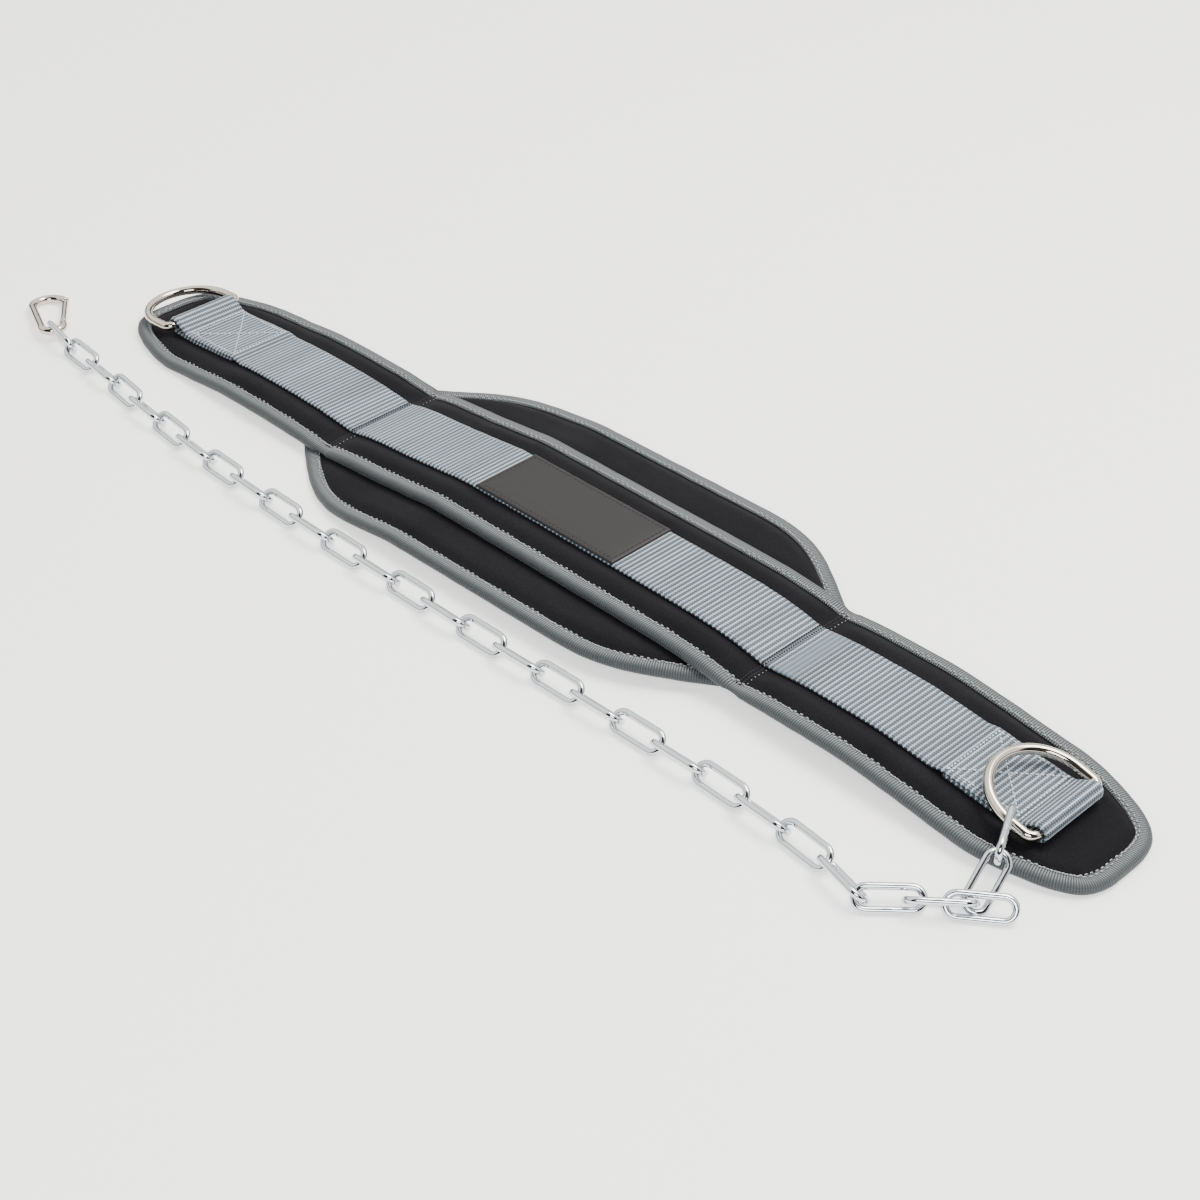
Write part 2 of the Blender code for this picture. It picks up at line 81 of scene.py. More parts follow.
# place along the belt, then shares of the rise, of the thickness and of the drift
SECTIONS = (
    (-2.00, 0.00, 1.00, -0.45), (-1.74, 0.00, 1.00, -0.15), (-1.62, 0.08, 1.00, 0.00),
    (-1.43, 0.32, 1.00, 0.00), (-1.30, 0.35, 1.00, 0.00), (-1.16, 0.33, 0.98, 0.00),
    (-1.07, 0.30, 0.84, 0.00), (-1.00, 0.32, 0.62, 0.00), (-0.93, 0.38, 0.84, 0.00),
    (-0.84, 0.46, 0.98, 0.00), (-0.70, 0.58, 1.00, 0.00), (-0.52, 0.80, 1.00, 0.00),
    (-0.36, 0.97, 1.00, 0.00), (0.36, 0.97, 1.00, 0.00), (0.70, 0.94, 1.00, 0.00),
    (0.84, 0.84, 0.98, 0.00), (0.93, 0.74, 0.84, 0.00), (1.00, 0.68, 0.62, 0.00),
    (1.07, 0.66, 0.84, 0.00), (1.16, 0.68, 0.98, -0.05), (1.32, 0.70, 1.00, -0.15),
    (1.48, 0.58, 1.00, -0.40), (1.66, 0.33, 1.00, -0.65), (1.80, 0.18, 1.00, -0.80),
    (2.00, 0.00, 1.00, -1.15),
)
TIP = ((0.0, 0.22), (0.02, 0.37), (0.06, 0.50), (0.13, 0.61), (0.23, 0.70), (0.37, 0.79),
       (0.55, 0.87), (0.77, 0.95), (1.0, 1.0))
PAD_CORNER = ((0.0, 0.0), (0.14, 0.03), (0.28, 0.105), (0.42, 0.235), (0.56, 0.42), (0.70, 0.63),
              (0.85, 0.86), (1.0, 1.05))


# %% Smooth curves through the tables
def smooth(pairs):
    """A function that passes smoothly through (place, value) pairs and never overshoots them."""
    places, values = zip(*pairs)
    count = len(places) - 1
    slopes = [(values[i + 1] - values[i]) / (places[i + 1] - places[i]) for i in range(count)]
    tangents = [slopes[0]]
    for a, b in zip(slopes, slopes[1:]):
        tangents.append(2 * a * b / (a + b) if a * b > 0 else 0.0)
    tangents.append(slopes[-1])

    def value(place):
        place = min(max(place, places[0]), places[-1])
        i = max(min(bisect_right(places, place), count) - 1, 0)
        width = places[i + 1] - places[i]
        t = (place - places[i]) / width
        between = (1 + 2 * t) * (1 - t) ** 2 * values[i] + t * t * (3 - 2 * t) * values[i + 1]
        return between + width * t * (1 - t) * ((1 - t) * tangents[i] - t * tangents[i + 1])

    return value


rise_share = smooth([(row[0], row[1]) for row in SECTIONS])
thickness_share = smooth([(row[0], row[2]) for row in SECTIONS])
drift_share = smooth([(row[0], row[3]) for row in SECTIONS])
tip_share, pad_corner_share = smooth(TIP), smooth(PAD_CORNER)


def place_of(x):
    beyond = abs(x) - SEAM_DISTANCE
    if beyond <= 0:
        return x / SEAM_DISTANCE
    return math.copysign(1 + beyond / (BELT_LENGTH / 2 - SEAM_DISTANCE), x)


def belt_bottom(x):
    return ARCH_RISE * rise_share(place_of(x))


def belt_top(x):
    return belt_bottom(x) + BELT_THICKNESS * thickness_share(place_of(x))


def middle_y(x):
    return TIP_DRIFT * drift_share(place_of(x))


def pad_top(x):
    return belt_bottom(x) - GAP


def pad_bottom(x):
    return max(pad_top(x) - PAD_THICKNESS * thickness_share(place_of(x)), 0.0)


def belt_half_width(x):
    return BELT_WIDTH / 2 * tip_share((BELT_LENGTH / 2 - abs(x)) / TIP_LENGTH)


def pad_half_width(x):
    corner = (PAD_LENGTH - PAD_STRAIGHT) / 2
    share = max(abs(x - PAD_OFFSET) - PAD_STRAIGHT / 2, 0.0) / corner
    return PAD_WIDTH / 2 - (PAD_WIDTH - PAD_END_WIDTH) / 2 * pad_corner_share(share)


def pad_middle_y(x):
    return PAD_SHIFT + PAD_SLANT * (x - PAD_OFFSET)


print("belt's top at its middle", round(belt_top(0) / MM, 2), "mm")

# %% [markdown]
# ## Camera, floor and light
# The photograph looks down at 36 degrees through a long lens, from halfway between the belt's near
# side and its right end. The floor is a plain pale sheet. A large soft light overhead and a second
# one on the near side leave only a faint shadow, as in a white studio.

# %% Camera
CAMERA_PLACE, CAMERA_TURN, FOCAL_LENGTH = (0.79998, -0.78, 0.76505), (54.0955, -0.3898, 45.1271), 67.093

camera_data = bpy.data.cameras.new("camera")
camera_data.lens, camera_data.sensor_width = FOCAL_LENGTH, 36.0
camera_data.clip_start, camera_data.clip_end = 0.05, 30.0
camera = bpy.data.objects.new("camera", camera_data)
camera.location = Vector(CAMERA_PLACE) + ORIGIN
camera.rotation_euler = [math.radians(angle) for angle in CAMERA_TURN]
bpy.context.scene.collection.objects.link(camera)
bpy.context.scene.camera = camera
print("camera at", camera.location)


# %% Colours and nodes
def colour(code):
    """A linear colour from an sRGB hex code."""
    parts = [int(code[i:i + 2], 16) / 255 for i in (1, 3, 5)]
    linear = [p / 12.92 if p <= 0.04045 else ((p + 0.055) / 1.055) ** 2.4 for p in parts]
    return (*linear, 1.0)


def add(tree, kind, inputs=None, **settings):
    """Adds a node with its settings, and sets or links its inputs."""
    node = tree.nodes.new(kind)
    for key, value in settings.items():
        setattr(node, key, value)
    for key, value in (inputs or {}).items():
        if isinstance(value, bpy.types.NodeSocket):
            tree.links.new(value, node.inputs[key])
        else:
            node.inputs[key].default_value = value
    return node


def new_material(name, code, **values):
    """A Principled material, and its node tree and shader for what is added to it."""
    material = bpy.data.materials.new(name)
    material.use_nodes = True
    shader = material.node_tree.nodes["Principled BSDF"]
    shader.inputs["Base Color"].default_value = colour(code)
    for key, value in values.items():
        shader.inputs[key.replace("_", " ")].default_value = value
    return material, material.node_tree, shader


def ramp(tree, factor, stops):
    """A colour ramp through (position, hex code) stops."""
    node = add(tree, "ShaderNodeValToRGB", {"Fac": factor})
    elements = node.color_ramp.elements
    while len(elements) < len(stops):
        elements.new(0.5)
    for element, (position, code) in zip(elements, stops):
        element.position, element.color = position, colour(code)
    return node.outputs["Color"]


def bands(width):
    """The Wave texture's scale for one band each width, in metres."""
    return 2 * math.pi / (20 * width)


print("a mid grey is", tuple(round(c, 3) for c in colour("#808080")))

# %% Floor and lights
FLOOR_HALF, FLOOR_DROP = 6, 0.2 * MM  # metres; the drop keeps it just under the lowest links

# a white studio floor is lit until it glows, so it is given some light of its own
floor_material = new_material("pale_floor", "#f4f3f1", Roughness=0.55, Emission_Color=colour("#fffdfa"),
                              Emission_Strength=1.0)[0]
floor_mesh = bpy.data.meshes.new("floor")
floor_corners = [(x * FLOOR_HALF, y * FLOOR_HALF, 0) for x, y in ((-1, -1), (1, -1), (1, 1), (-1, 1))]
floor_mesh.from_pydata(floor_corners, [], [(0, 1, 2, 3)])
floor_mesh.materials.append(floor_material)
floor = bpy.data.objects.new("floor", floor_mesh)
floor.location.z = -FLOOR_DROP
bpy.context.scene.collection.objects.link(floor)

world = bpy.data.worlds.new("studio")
world.use_nodes = True
tree, background = world.node_tree, world.node_tree.nodes["Background"]
direction = add(tree, "ShaderNodeTexCoord").outputs["Generated"]
height = add(tree, "ShaderNodeSeparateXYZ", {"Vector": direction}).outputs["Z"]
sky = ramp(tree, height, [(0.0, "#1b1c1e"), (0.16, "#3a3b3d"), (0.32, "#e8e6e3"), (1.0, "#ffffff")])
# the studio is dark on one side, which draws a dark line along every bright wire
DARK_SIDE = Vector((0.62, -0.62, 0.48)).normalized()
facing = add(tree, "ShaderNodeVectorMath", {0: direction, 1: DARK_SIDE}, operation="DOT_PRODUCT")
dark = add(tree, "ShaderNodeMapRange", {"Value": facing.outputs["Value"], "From Min": 0.5, "From Max": 0.64,
                                        "To Min": 1.0, "To Max": 0.03})
studio = add(tree, "ShaderNodeVectorMath", {0: sky, 3: dark.outputs["Result"]}, operation="SCALE")
tree.links.new(studio.outputs["Vector"], background.inputs["Color"])
background.inputs["Strength"].default_value = 2.1
bpy.context.scene.world = world


def area_light(name, place, target, size, power, code):
    data = bpy.data.lights.new(name, "AREA")
    data.shape, data.size, data.size_y = "RECTANGLE", size[0], size[1]
    data.energy, data.color = power, colour(code)[:3]
    light = bpy.data.objects.new(name, data)
    light.location = Vector(place)
    light.rotation_euler = (Vector(target) - light.location).to_track_quat("-Z", "Y").to_euler()
    bpy.context.scene.collection.objects.link(light)


area_light("overhead", (0.5, 0.9, 2.2), (0, 0, 0), (1.6, 1.2), 78, "#fffaf4")
area_light("near_side", (1.5, -1.3, 1.3), (0.1, 0, 0), (1.2, 0.8), 30, "#f6faff")
print("floor, world and two lights")

# %% [markdown]
# ## Materials
# Neoprene is foam faced with a fine black knit, so it is matt, with a faint grain and a little
# sheen. The edge tape is woven with a rib across it. The webbing is polyester with bright floats
# over a darker ground. The patch is a soft plastic leather. The rings and the hook are nickel
# plated and the chain is zinc plated: both are metals, and differ in roughness and warmth.


# %% Cloth materials
def object_place(tree):
    return add(tree, "ShaderNodeTexCoord").outputs["Object"]


def strip_place(tree):
    """The distance along and across a strip, in metres, from its own UV map."""
    return add(tree, "ShaderNodeUVMap", uv_map="along").outputs["UV"]


def bump_from(tree, shader, height, strength, distance):
    bump = add(tree, "ShaderNodeBump", {"Height": height, "Strength": strength, "Distance": distance})
    tree.links.new(bump.outputs["Normal"], shader.inputs["Normal"])


def times(tree, a, b):
    return add(tree, "ShaderNodeMath", {0: a, 1: b}, operation="MULTIPLY").outputs[0]


def wave(tree, place, width, way="X", distortion=0.0):
    """Soft bands of a width, from 0 at the start of each band to 1 at its middle."""
    return add(tree, "ShaderNodeTexWave", {"Vector": place, "Scale": bands(width), "Distortion": distortion},
               bands_direction=way).outputs["Fac"]


KNIT, PATCHES = 0.9 * MM, 30 * MM  # its grain, and the slow patches in its colour
neoprene, tree, shader = new_material("knit_faced_neoprene", "#0b0a0d", Roughness=0.9, Sheen_Weight=0.03,
                                      Sheen_Roughness=0.5, Specular_IOR_Level=0.15)
place = object_place(tree)
slow = add(tree, "ShaderNodeTexNoise", {"Vector": place, "Scale": 1 / PATCHES, "Detail": 4.0})
grain = add(tree, "ShaderNodeTexVoronoi", {"Vector": place, "Scale": 1 / KNIT})
speckle = times(tree, slow.outputs["Fac"], grain.outputs["Distance"])
tree.links.new(ramp(tree, speckle, [(0.05, "#060507"), (0.5, "#141318")]), shader.inputs["Base Color"])
bump_from(tree, shader, grain.outputs["Distance"], 0.3, 0.15 * MM)

RIB, TAPE_YARN = 1.5 * MM, 0.9 * MM  # the edge tape's ribs, and the yarn that crosses them
tape_material, tree, shader = new_material("ribbed_edge_tape", "#5d6163", Roughness=0.75, Sheen_Weight=0.1,
                                           Specular_IOR_Level=0.3)
place = strip_place(tree)
ribs = wave(tree, place, RIB, distortion=0.8)
yarn = wave(tree, place, TAPE_YARN, "Y", 1.5)
threads = times(tree, ribs, add(tree, "ShaderNodeMapRange", {"Value": yarn, "To Min": 0.6}).outputs["Result"])
# painted shade: the fold, where the tape turns down to its side, is made darker than the flat of the tape,
# and its ribs are smoother there in colour and bump
inset = add(tree, "ShaderNodeSeparateXYZ", {"Vector": place}).outputs["Y"]
painted_fold_shade = add(tree, "ShaderNodeMapRange", {"Value": inset, "From Min": 1.5 * MM, "From Max": 4.5 * MM,
                                             "To Min": 0.4}).outputs["Result"]
threads = times(tree, threads, painted_fold_shade)
tree.links.new(ramp(tree, threads, [(0.05, "#34383a"), (0.4, "#505456"), (0.85, "#85898b")]),
               shader.inputs["Base Color"])
bump_from(tree, shader, threads, 0.6, 0.3 * MM)

WEB_RIB, DASH = 3.3 * MM, 1.8 * MM  # the webbing's ribs, and the floats across each
CREASE_LENGTH, CREASE_WIDTH = 22 * MM, 160 * MM
PRESSED_FROM, PRESSED_TO = (181 * MM, 186 * MM), (201 * MM, 193 * MM)  # the pressed part's soft ends
webbing_material, tree, shader = new_material("polyester_webbing", "#8b98a1", Roughness=0.45,
                                              Sheen_Weight=0.1)
place = strip_place(tree)
ribs = wave(tree, place, WEB_RIB, distortion=0.25)
dashes = wave(tree, place, DASH, "Y", 0.6)
rows = times(tree, wave(tree, place, WEB_RIB / 2, distortion=0.3), dashes)
thin = add(tree, "ShaderNodeMapRange", {"Value": ribs, "From Min": 0.7, "From Max": 0.97}).outputs["Result"]
floats = add(tree, "ShaderNodeMath", {0: thin, 1: times(tree, rows, 0.85)}, operation="MAXIMUM").outputs[0]
weave = ramp(tree, floats, [(0.05, "#2b3740"), (0.4, "#53616c"), (0.75, "#8593a0"), (1.0, "#c6d1d8")])
# painted light and shade of slow creases that run across the strip, darker and lighter in turn
crease_scale = (1 / CREASE_LENGTH, 1 / CREASE_WIDTH, 1)
stretched = add(tree, "ShaderNodeMapping", {"Vector": place, "Scale": crease_scale})
creases = add(tree, "ShaderNodeTexNoise", {"Vector": stretched.outputs[0], "Scale": 1.0, "Detail": 3.0})
shade = add(tree, "ShaderNodeMapRange", {"Value": creases.outputs["Fac"], "From Min": 0.3, "From Max": 0.7,
                                         "To Min": 0.7, "To Max": 1.15}).outputs["Result"]
crease_shaded_weave = add(tree, "ShaderNodeHueSaturation", {"Color": weave, "Value": shade}).outputs["Color"]
# the strip is pressed smooth just past the seam, on one side of the belt
x_place = add(tree, "ShaderNodeSeparateXYZ", {"Vector": object_place(tree)}).outputs["X"]
pressed = 0.7
for start, end in (PRESSED_FROM, PRESSED_TO):
    fade = add(tree, "ShaderNodeMapRange", {"Value": x_place, "From Min": ORIGIN.x + start,
                                            "From Max": ORIGIN.x + end}).outputs["Result"]
    pressed = times(tree, pressed, fade)
flattened = add(tree, "ShaderNodeMix", data_type="RGBA")
for socket, value in ((0, pressed), (6, crease_shaded_weave)):
    tree.links.new(value, flattened.inputs[socket])
flattened.inputs[7].default_value = colour("#5d6d79")
tree.links.new(flattened.outputs[2], shader.inputs["Base Color"])
bump_from(tree, shader, floats, 0.8, 0.3 * MM)

label_material, tree, shader = new_material("soft_plastic_leather", "#262324", Roughness=0.5,
                                            Specular_IOR_Level=0.35)
PORES = 0.8 * MM
pores = add(tree, "ShaderNodeTexVoronoi", {"Vector": object_place(tree), "Scale": 1 / PORES})
tree.links.new(ramp(tree, pores.outputs["Distance"], [(0.0, "#121011"), (0.6, "#1b1819")]),
               shader.inputs["Base Color"])
bump_from(tree, shader, pores.outputs["Distance"], 0.2, 0.1 * MM)

black_thread = new_material("black_thread", "#060607", Roughness=0.7)[0]
pale_thread = new_material("pale_thread", "#a9adaf", Roughness=0.65)[0]
webbing_thread = new_material("webbing_thread", "#d5dde2", Roughness=0.6)[0]
print("cloth materials made")


# %% Plated wire
MARKS = 2 * MM  # how far apart the faint marks of handling and plating lie


def plated(name, code, low, high):
    """A plated wire whose roughness wanders between low and high."""
    material, tree, shader = new_material(name, code, Metallic=1.0)
    marks = add(tree, "ShaderNodeTexNoise", {"Vector": object_place(tree), "Scale": 1 / MARKS, "Detail": 2.0})
    spread = add(tree, "ShaderNodeMapRange", {"Value": marks.outputs["Fac"], "To Min": low, "To Max": high})
    tree.links.new(spread.outputs["Result"], shader.inputs["Roughness"])
    bump_from(tree, shader, marks.outputs["Fac"], 0.08, 0.1 * MM)
    return material


zinc = plated("bright_zinc_plate", "#c9cdd1", 0.06, 0.16)
nickel = plated("bright_nickel_plate", "#c4bcb1", 0.05, 0.13)
print("metals", zinc.name, nickel.name)


# %% [markdown]
# ## Foam panels
# Each panel is neoprene foam, squeezed thin under its edge tape and at the cross seams and full in
# between. A grid over the outline gives it that crown, because its height can follow the distance
# to the edge. A closed mesh with both faces is used, as light and shadow show its thickness.


# %% Outlines and finishing
def outline_of(half_width, middle, ends, step):
    """The panel's outline, counter-clockwise, as points a step apart along it."""
    start, end = ends
    # places crowd toward the ends, where the outline turns quickly
    xs = [start + (end - start) * (0.5 - 0.5 * math.cos(math.pi * i / 400)) for i in range(401)]
    loop = [Vector((x, middle(x) - half_width(x))) for x in xs]
    loop += [Vector((x, middle(x) + half_width(x))) for x in reversed(xs)]
    lengths = [0.0]
    for a, b in zip(loop, loop[1:] + loop[:1]):
        lengths.append(lengths[-1] + (b - a).length)
    total = round(lengths[-1] / step / 2) * 2
    points, i = [], 0
    for k in range(total):
        along = lengths[-1] * k / total
        while lengths[i + 1] < along:
            i += 1
        t = (along - lengths[i]) / (lengths[i + 1] - lengths[i])
        points.append(loop[i].lerp(loop[(i + 1) % len(loop)], t))
    # the corners between the table's curves are eased a little
    for _ in range(12):
        points = [(points[i - 1] + points[i] * 2 + points[(i + 1) % total]) / 4 for i in range(total)]
    return points


def inward_ways(points):
    """The direction into the panel at each point of its outline."""
    ways = []
    for i in range(len(points)):
        along = points[(i + 4) % len(points)] - points[i - 4]
        ways.append(Vector((-along.y, along.x)).normalized())
    return ways


def finish_piece(name, mesh, material, slot, body, *replaced):
    """An object for a mesh given in the belt's own frame, riding on its body."""
    mesh.transform(Matrix.Translation(ORIGIN))
    mesh.materials.clear()
    mesh.materials.append(material)
    piece = bpy.data.objects.new(name, mesh)
    bpy.context.scene.collection.objects.link(piece)
    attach(piece, body)
    if replaced:
        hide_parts(*replaced)
    print(name, len(mesh.polygons), "faces")
    return piece


def closed_mesh(name, verts, faces):
    """A mesh whose faces all look outward."""
    mesh = bpy.data.meshes.new(name)
    mesh.from_pydata(verts, [], faces)
    bm = bmesh.new()
    bm.from_mesh(mesh)
    bmesh.ops.recalc_face_normals(bm, faces=bm.faces)
    for face in bm.faces:
        face.smooth = True
    bm.to_mesh(mesh)
    bm.free()
    return mesh


BELT_ENDS = (-BELT_LENGTH / 2, BELT_LENGTH / 2)
PAD_ENDS = (PAD_OFFSET - PAD_LENGTH / 2, PAD_OFFSET + PAD_LENGTH / 2)
belt_outline = outline_of(belt_half_width, middle_y, BELT_ENDS, RIB / 2)
pad_outline = outline_of(pad_half_width, pad_middle_y, PAD_ENDS, RIB / 2)
print("ribs round the belt", len(belt_outline) // 2, "and round the pad", len(pad_outline) // 2)


# %% The two panels
def rise(distance, start, end):
    """0 before start, 1 past end and smooth between them."""
    t = min(max((distance - start) / (end - start), 0.0), 1.0)
    return t * t * (3 - 2 * t)


DENT_LENGTH, DENT_WIDTH, DENT_DEPTH = 45 * MM, 28 * MM, 1 * MM
FOAM_INSET, FOAM_SINK = 2 * MM, 0.15 * MM  # inside the tape, and under the solid it stands for


def undulation(x, y, seed):
    """Slow dents of cloth over foam, up and down by the depth at most."""
    return DENT_DEPTH * noise.noise(Vector((x / DENT_LENGTH, y / DENT_WIDTH, seed)))


def closed_grid(name, upper, lower, rows, columns):
    """One mesh from two grids of points of the same size, joined round their rim."""
    count, width, faces = len(upper), columns + 1, []
    for i in range(rows):
        for j in range(columns):
            a = i * width + j
            faces.append((a, a + width, a + width + 1, a + 1))
            faces.append((count + a, count + a + 1, count + a + width + 1, count + a + width))
    rim = list(range(width)) + [i * width + columns for i in range(1, rows + 1)]
    rim += [rows * width + j for j in range(columns - 1, -1, -1)]
    rim += [i * width for i in range(rows - 1, 0, -1)]
    for a, b in zip(rim, rim[1:] + rim[:1]):
        faces.append((a, b, count + b, count + a))
    return closed_mesh(name, upper + lower, faces)


def panel(name, half_width, middle, ends, bottom, top, columns=54, rows=300):
    """A closed grid over an outline, between two height functions of (x, y, distance to the edge)."""
    start, end = ends[0] + FOAM_INSET, ends[1] - FOAM_INSET
    upper, lower = [], []
    for i in range(rows + 1):
        x = start + (end - start) * (0.5 - 0.5 * math.cos(math.pi * i / rows))
        half = half_width(x) - FOAM_INSET
        for j in range(columns + 1):
            share = -math.cos(math.pi * j / columns)
            y = middle(x) + half * share
            distance = min(half * (1 - abs(share)), x - start, end - x)
            squeeze = 0.4 if i in (0, rows) or j in (0, columns) else 1.0
            low, high = bottom(x, y, distance), top(x, y, distance)
            mid = (low + high) / 2
            upper.append((x, y, mid + (high - mid) * squeeze))
            lower.append((x, y, mid + (low - mid) * squeeze))
    return closed_grid(name, upper, lower, rows, columns)


def belt_foam_bottom(x, y, distance):
    return belt_bottom(x) + BELT_THICKNESS * (0.2 - 0.15 * rise(distance, 6 * MM, 14 * MM))


def belt_foam_top(x, y, distance):
    full = belt_top(x) - belt_bottom(x)
    height = full * (0.66 + 0.34 * rise(distance, 5 * MM, 15 * MM))
    across = abs(y - middle_y(x))
    crown = 1.3 * MM * rise(distance, 7 * MM, 17 * MM) * rise(across, 26 * MM, 33 * MM)
    from_seam = abs(abs(x) - SEAM_DISTANCE)
    crown *= rise(from_seam, 1 * MM, 16 * MM)
    pleats = 0.5 * MM * math.sin(y / (7 * MM)) * (1 - rise(from_seam, 4 * MM, 22 * MM))
    free = rise(across, 26 * MM, 30 * MM) * rise(distance, 9 * MM, 14 * MM)
    return belt_bottom(x) + height + crown + free * (undulation(x, y, 1.5) + pleats - 0.2 * MM) - FOAM_SINK


def pad_foam_bottom(x, y, distance):
    return pad_bottom(x) + 0.2 * MM


def pad_foam_top(x, y, distance):
    full = pad_top(x) - pad_bottom(x)
    height = full * (0.66 + 0.34 * rise(distance, 5 * MM, 15 * MM))
    clear = rise(abs(y - middle_y(x)) - belt_half_width(x), 1 * MM, 9 * MM)
    crown = clear * rise(distance, 8 * MM, 16 * MM) * (1.2 * MM + undulation(x, y, 7.5))
    return pad_bottom(x) + height + crown - FOAM_SINK


belt_mesh = panel("belt_foam", belt_half_width, middle_y, BELT_ENDS, belt_foam_bottom, belt_foam_top)
belt_foam = finish_piece("belt_foam", belt_mesh, neoprene, "foam", "belt", "main_belt")
pad_mesh = panel("pad_foam", pad_half_width, pad_middle_y, PAD_ENDS, pad_foam_bottom, pad_foam_top)
pad_foam = finish_piece("pad_foam", pad_mesh, neoprene, "foam", "belt", "back_pad")

# %% [markdown]
# ## Edge tape
# A woven tape is folded over each panel's edge. One rounded section is swept round the outline and
# every second station stands a little proud, which gives the tape's ribs as real relief. A flat
# picture of ribs would not catch the light at the edge, where the tape is seen from the side.

# %% Tape
# (distance in from the edge in mm, share of the height, how much the ribs lift it)
TAPE_OUTSIDE = ((9.6, 0.90, 0.2), (8.8, 1.0, 0.6), (7.0, 1.04, 1.0), (5.0, 1.06, 1.0), (3.2, 1.05, 0.9),
                (1.6, 0.97, 0.7), (0.5, 0.80, 0.6), (0.0, 0.5, 0.5), (0.5, 0.20, 0.3), (1.8, 0.02, 0.0),
                (9.4, 0.0, 0.0))
TAPE_INSIDE = ((9.4, 0.10, 0.0), (2.2, 0.12, 0.0), (1.2, 0.5, 0.0), (2.2, 0.84, 0.0), (9.3, 0.82, 0.0))
TAPE_RELIEF = 0.1 * MM
PINCH_FROM, PINCH_TO, NOTCH = 1.5 * MM, 7 * MM, 0.9 * MM  # at the cross seams


def tape(name, outline, bottom, top, pinched):
    """Tape swept round an outline, with the distance along it and in from its edge as its UV map."""
    ways, section = inward_ways(outline), TAPE_OUTSIDE + TAPE_INSIDE
    verts, faces, places = [], [], []
    count, step = len(section), RIB / 2
    for i, (here, way) in enumerate(zip(outline, ways)):
        pinch = pinched * (1 - rise(abs(abs(here.x) - SEAM_DISTANCE), PINCH_FROM, PINCH_TO))
        wander = 0.25 * MM * noise.noise(Vector((here.x, here.y, 3.0)) / (12 * MM))
        for inset, share, lift in section:
            place = here + way * (inset * MM * (1 - 0.1 * pinch) + NOTCH * pinch + wander)
            low, high = bottom(here.x), top(here.x)
            z = low + (high - low) * (0.5 + (share - 0.5) * (1 - 0.28 * pinch))
            z += TAPE_RELIEF * lift * (i % 2) * (1 if share > 0.5 else 0)
            verts.append((place.x, place.y, z))
            places.append((i * step, inset * MM))
    for i in range(len(outline)):
        here, after = i * count, (i + 1) % len(outline) * count
        for j in range(count):
            beside = (j + 1) % count
            faces.append((here + j, here + beside, after + beside, after + j))
    mesh = closed_mesh(name, verts, faces)
    layer = mesh.uv_layers.new(name="along")
    last = (len(outline) - 1) * count
    # the faces that close the ring carry on the distance instead of jumping back to its start
    for polygon in mesh.polygons:
        wraps = any(v >= last for v in polygon.vertices) and any(v < count for v in polygon.vertices)
        for loop in polygon.loop_indices:
            vertex = mesh.loops[loop].vertex_index
            u, v = places[vertex]
            layer.data[loop].uv = (u + len(outline) * step if wraps and vertex < count else u, v)
    return mesh


def belt_part_way(x, share):
    """A height between the belt's underside and its top."""
    return belt_bottom(x) + share * (belt_top(x) - belt_bottom(x))


belt_tape = tape("belt_tape", belt_outline, belt_bottom, lambda x: belt_part_way(x, 0.9), pinched=1.0)
pad_tape = tape("pad_tape", pad_outline, pad_bottom, lambda x: pad_top(x) - 0.7 * MM, pinched=0.0)
finish_piece("belt_tape", belt_tape, tape_material, "binding", "belt", "main_belt_binding")
finish_piece("pad_tape", pad_tape, tape_material, "binding", "belt", "back_pad_binding")

# %% [markdown]
# ## Webbing
# One strip runs the length of the belt and is folded back under itself round the bar of a ring at
# each end. It is swept along that path with its cross ribs as a low relief. Its bright
# floats come from the material, which reads the distance along and across the strip.

# %% The webbing's path
LOOP_RADIUS = RING_WIRE / 2 + RING_CLEARANCE + WEBBING_THICKNESS / 2
RIB_STATIONS = 4


def webbing_height(x):
    return belt_top(x) + GAP + WEBBING_THICKNESS / 2


def bar_height(side):
    return webbing_height(side * RING_DISTANCE) + RING_LIFT + LOOP_RADIUS


def webbing_end(side):
    """The strip's line from the top layer at one end, round the ring's bar and back underneath."""
    layer, fold_end = WEBBING_THICKNESS + GAP, RING_DISTANCE - FOLD_LENGTH
    lie = RING_DISTANCE - 2.9 * LOOP_RADIUS
    line = []
    for i in range(5):
        x = fold_end - FOLD_STEP * (1 - i / 4)
        line.append((x, webbing_height(side * x) + layer * rise(i / 4, 0, 1)))
    for i in range(1, 13):
        x = fold_end + (lie - fold_end) * i / 12
        line.append((x, webbing_height(side * x) + layer))
    for degrees in range(120, -91, -15):
        turn = math.radians(degrees)
        x = RING_DISTANCE + LOOP_RADIUS * math.cos(turn)
        line.append((x, bar_height(side) + LOOP_RADIUS * math.sin(turn)))
    for i in range(13):
        x = lie - (lie - fold_end) * i / 12
        line.append((x, webbing_height(side * x)))
    return [Vector((side * x, z)) for x, z in line]


def even(line, step):
    """The same line with its points a step apart."""
    lengths = [0.0]
    for a, b in zip(line, line[1:]):
        lengths.append(lengths[-1] + (b - a).length)
    total, points, i = round(lengths[-1] / step), [], 0
    for k in range(total + 1):
        along = lengths[-1] * k / total
        while i < len(line) - 2 and lengths[i + 1] < along:
            i += 1
        points.append(line[i].lerp(line[i + 1], (along - lengths[i]) / (lengths[i + 1] - lengths[i])))
    return points


flat_half = RING_DISTANCE - FOLD_LENGTH - FOLD_STEP - MM
flat_places = [flat_half * (i / 75 - 1) for i in range(151)]
flat = [Vector((x, webbing_height(x))) for x in flat_places]
station = WEB_RIB / RIB_STATIONS
webbing_line = even(webbing_end(-1)[::-1] + flat + webbing_end(1), station)
for _ in range(3):
    eased = [(a + b * 2 + c) / 4 for a, b, c in zip(webbing_line, webbing_line[1:], webbing_line[2:])]
    webbing_line = [webbing_line[0], *eased, webbing_line[-1]]
print("webbing's path", round(len(webbing_line) * station / MM), "mm")


